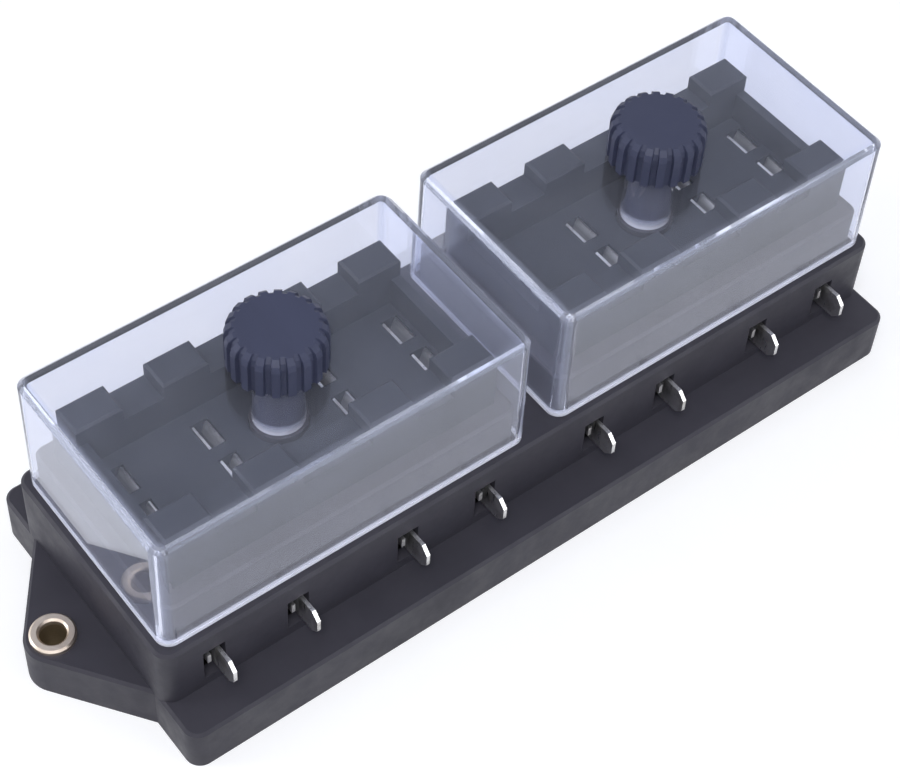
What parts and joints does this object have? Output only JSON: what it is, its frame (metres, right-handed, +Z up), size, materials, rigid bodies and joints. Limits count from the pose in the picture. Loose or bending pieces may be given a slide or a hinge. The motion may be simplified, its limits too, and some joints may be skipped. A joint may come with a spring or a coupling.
{
  "type": "blade fuse box",
  "caption": "Long surface-mounted blade fuse box: black base with a row of tab terminals along each side and end ears, under clear covers held by fluted knobs.",
  "frame": {"origin": "middle of the underside, on the panel it is fixed to", "axes": "+X along the row of fuses, +Y to the rear row of tabs, +Z up through the covers"},
  "size_m": [0.205, 0.0688, 0.0654],
  "materials": {
    "black_plastic": "fine satin moulded",
    "knob_plastic": "satin moulded",
    "clear_plastic": "clear, polished",
    "board": "pressed fibre board",
    "plated_brass": "tin plated",
    "eyelet_metal": "nickel plated, rolled",
    "insert_brass": "turned",
    "steel": "zinc plated"
  },
  "bodies": {
    "base": {"base_moulding": "black_plastic", "fuse_carrier_left": "black_plastic", "fuse_carrier_right": "black_plastic", "back_plate": "board", "plate_screws": "steel", "eyelet_left": "eyelet_metal", "eyelet_right": "eyelet_metal", "post_insert_left": "insert_brass", "post_insert_right": "insert_brass", "front_terminal_1": "plated_brass", "front_terminal_2": "plated_brass", "front_terminal_3": "plated_brass", "front_terminal_4": "plated_brass", "front_terminal_5": "plated_brass", "front_terminal_6": "plated_brass", "front_terminal_7": "plated_brass", "front_terminal_8": "plated_brass", "rear_terminal_1": "plated_brass", "rear_terminal_2": "plated_brass", "rear_terminal_3": "plated_brass", "rear_terminal_4": "plated_brass", "rear_terminal_5": "plated_brass", "rear_terminal_6": "plated_brass", "rear_terminal_7": "plated_brass", "rear_terminal_8": "plated_brass"},
    "cover_left": {"cover_left": "clear_plastic"},
    "knob_left": {"knob_left": "knob_plastic", "knob_stud_left": "steel"},
    "cover_right": {"cover_right": "clear_plastic"},
    "knob_right": {"knob_right": "knob_plastic", "knob_stud_right": "steel"}
  },
  "joints": [
    {"name": "cover_left_lift", "type": "slide", "parent": "base", "child": "cover_left", "axis": [0, 0, 1], "range_m": [0, 0.04]},
    {"name": "knob_left_turn", "type": "hinge", "parent": "cover_left", "child": "knob_left", "pos_m": [-0.04505, 0, 0.06], "axis": [0, 0, 1], "continuous": true},
    {"name": "cover_right_lift", "type": "slide", "parent": "base", "child": "cover_right", "axis": [0, 0, 1], "range_m": [0, 0.04]},
    {"name": "knob_right_turn", "type": "hinge", "parent": "cover_right", "child": "knob_right", "pos_m": [0.04505, 0, 0.06], "axis": [0, 0, 1], "continuous": true}
  ]
}
